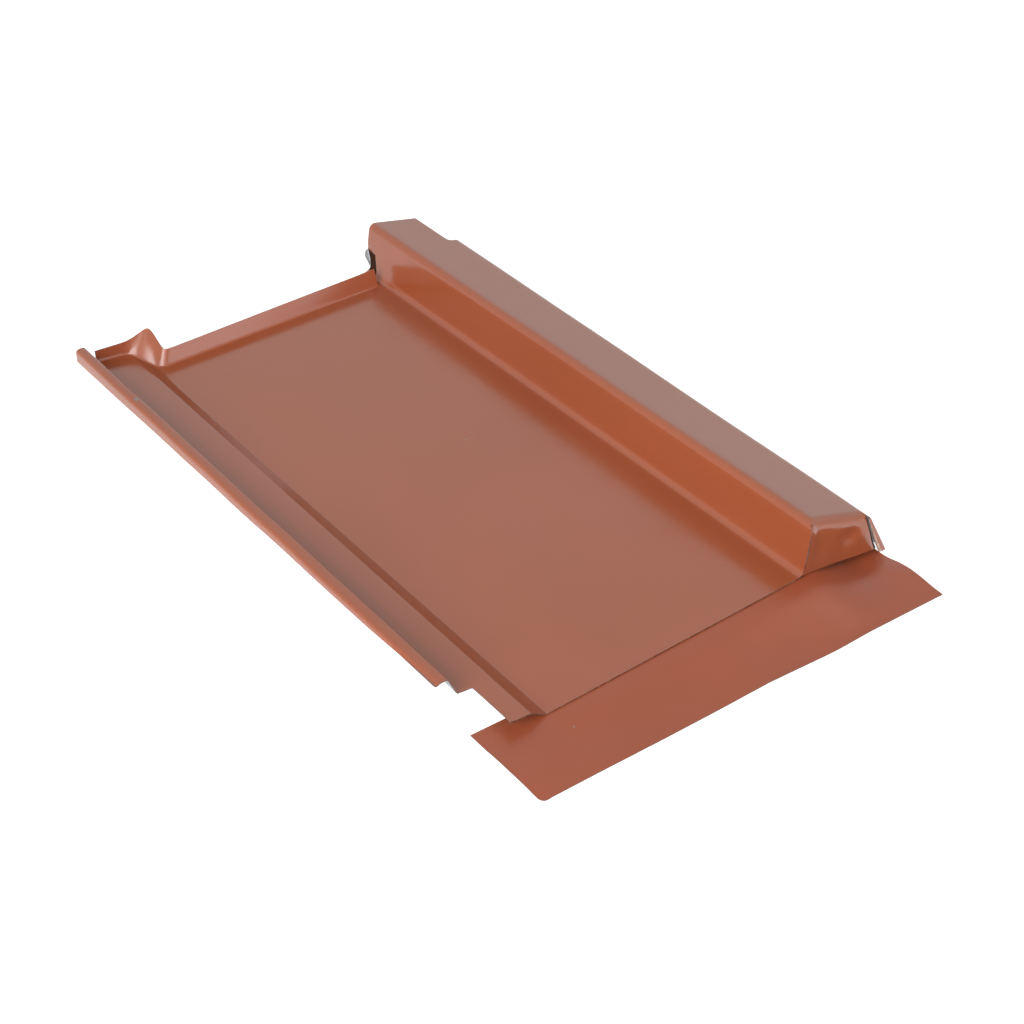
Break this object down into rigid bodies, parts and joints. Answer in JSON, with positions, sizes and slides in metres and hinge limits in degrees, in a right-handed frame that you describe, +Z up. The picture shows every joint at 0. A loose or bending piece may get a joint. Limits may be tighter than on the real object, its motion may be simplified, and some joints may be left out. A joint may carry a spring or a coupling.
{
  "type": "metal roof tile with apron",
  "caption": "Folded painted-metal roof tile: flat pan, low hooked edge ridge, tall closed-front cover rib, turned-up back edge and a flexible apron under the front edge.",
  "frame": {"origin": "bottom centre of the whole part's bounding box, on the floor it lies on", "axes": "+Y up the roof slope from the apron to the turned-up back edge, +X from the hooked ridge to the cover rib, +Z up; the pan is tilted 3.05 degrees about Y, rising towards +X, because the free edge beside the rib stands lower than the pan"},
  "size_m": [0.2883, 0.4774, 0.0436],
  "materials": {
    "tile_coat": "smooth terracotta powder coat, gloss satin",
    "apron_coat": "terracotta coated soft sheet, satin"
  },
  "bodies": {
    "root": {"tile_sheet": "tile_coat", "apron": "apron_coat"}
  },
  "joints": []
}
